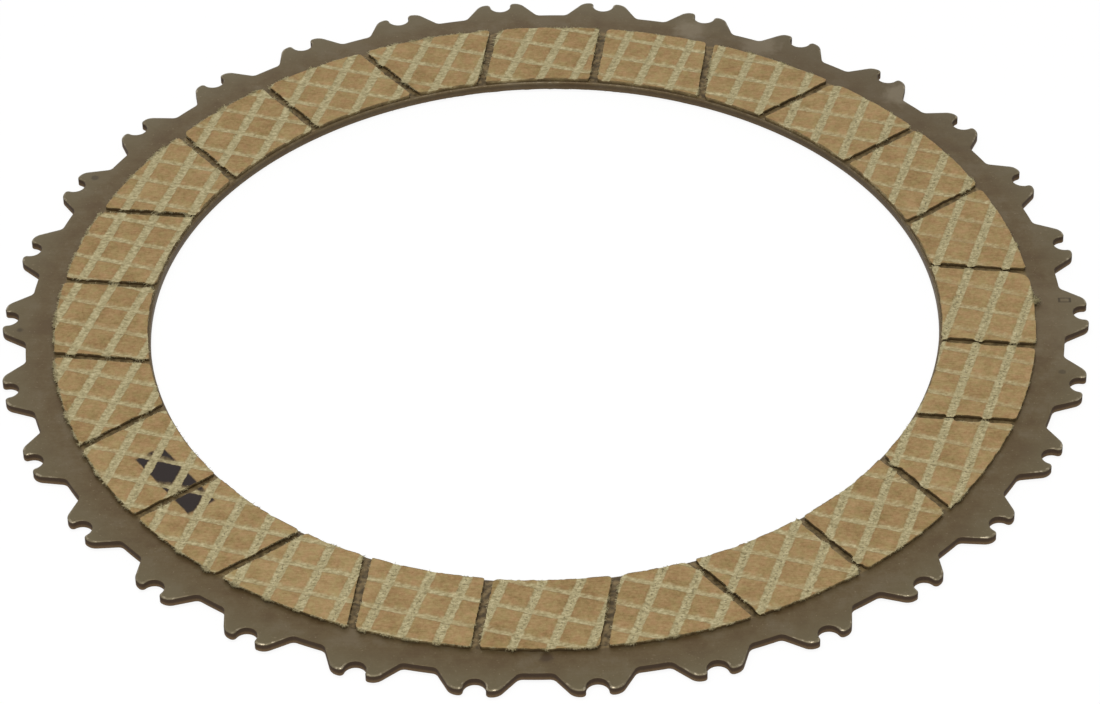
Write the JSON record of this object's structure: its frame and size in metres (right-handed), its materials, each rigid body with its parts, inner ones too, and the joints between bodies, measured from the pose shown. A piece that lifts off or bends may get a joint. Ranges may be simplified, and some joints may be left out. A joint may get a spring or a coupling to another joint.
{
  "type": "clutch disc",
  "caption": "Flat friction disc for a wet multi-plate clutch: toothed steel ring with grooved friction paper segments on both faces.",
  "frame": {"origin": "on the disc's axis, half way through the core plate's thickness", "axes": "+Z along the axis and out of the upper friction face, +X through the middle of a spline tooth"},
  "size_m": [0.3048, 0.3042, 0.0046],
  "materials": {
    "core_steel": "blanked steel plate, oiled and lightly oxidised to an olive brown",
    "friction_paper": "resin-bonded friction paper, matt and fibrous, milled oil grooves"
  },
  "bodies": {
    "root": {"core_plate": "core_steel", "upper_lining_01": "friction_paper", "upper_lining_02": "friction_paper", "upper_lining_03": "friction_paper", "upper_lining_04": "friction_paper", "upper_lining_05": "friction_paper", "upper_lining_06": "friction_paper", "upper_lining_07": "friction_paper", "upper_lining_08": "friction_paper", "upper_lining_09": "friction_paper", "upper_lining_10": "friction_paper", "upper_lining_11": "friction_paper", "upper_lining_12": "friction_paper", "upper_lining_13": "friction_paper", "upper_lining_14": "friction_paper", "upper_lining_15": "friction_paper", "upper_lining_16": "friction_paper", "upper_lining_17": "friction_paper", "upper_lining_18": "friction_paper", "upper_lining_19": "friction_paper", "upper_lining_20": "friction_paper", "upper_lining_21": "friction_paper", "upper_lining_22": "friction_paper", "upper_lining_23": "friction_paper", "upper_lining_24": "friction_paper", "lower_lining_01": "friction_paper", "lower_lining_02": "friction_paper", "lower_lining_03": "friction_paper", "lower_lining_04": "friction_paper", "lower_lining_05": "friction_paper", "lower_lining_06": "friction_paper", "lower_lining_07": "friction_paper", "lower_lining_08": "friction_paper", "lower_lining_09": "friction_paper", "lower_lining_10": "friction_paper", "lower_lining_11": "friction_paper", "lower_lining_12": "friction_paper", "lower_lining_13": "friction_paper", "lower_lining_14": "friction_paper", "lower_lining_15": "friction_paper", "lower_lining_16": "friction_paper", "lower_lining_17": "friction_paper", "lower_lining_18": "friction_paper", "lower_lining_19": "friction_paper", "lower_lining_20": "friction_paper", "lower_lining_21": "friction_paper", "lower_lining_22": "friction_paper", "lower_lining_23": "friction_paper", "lower_lining_24": "friction_paper"}
  },
  "joints": []
}
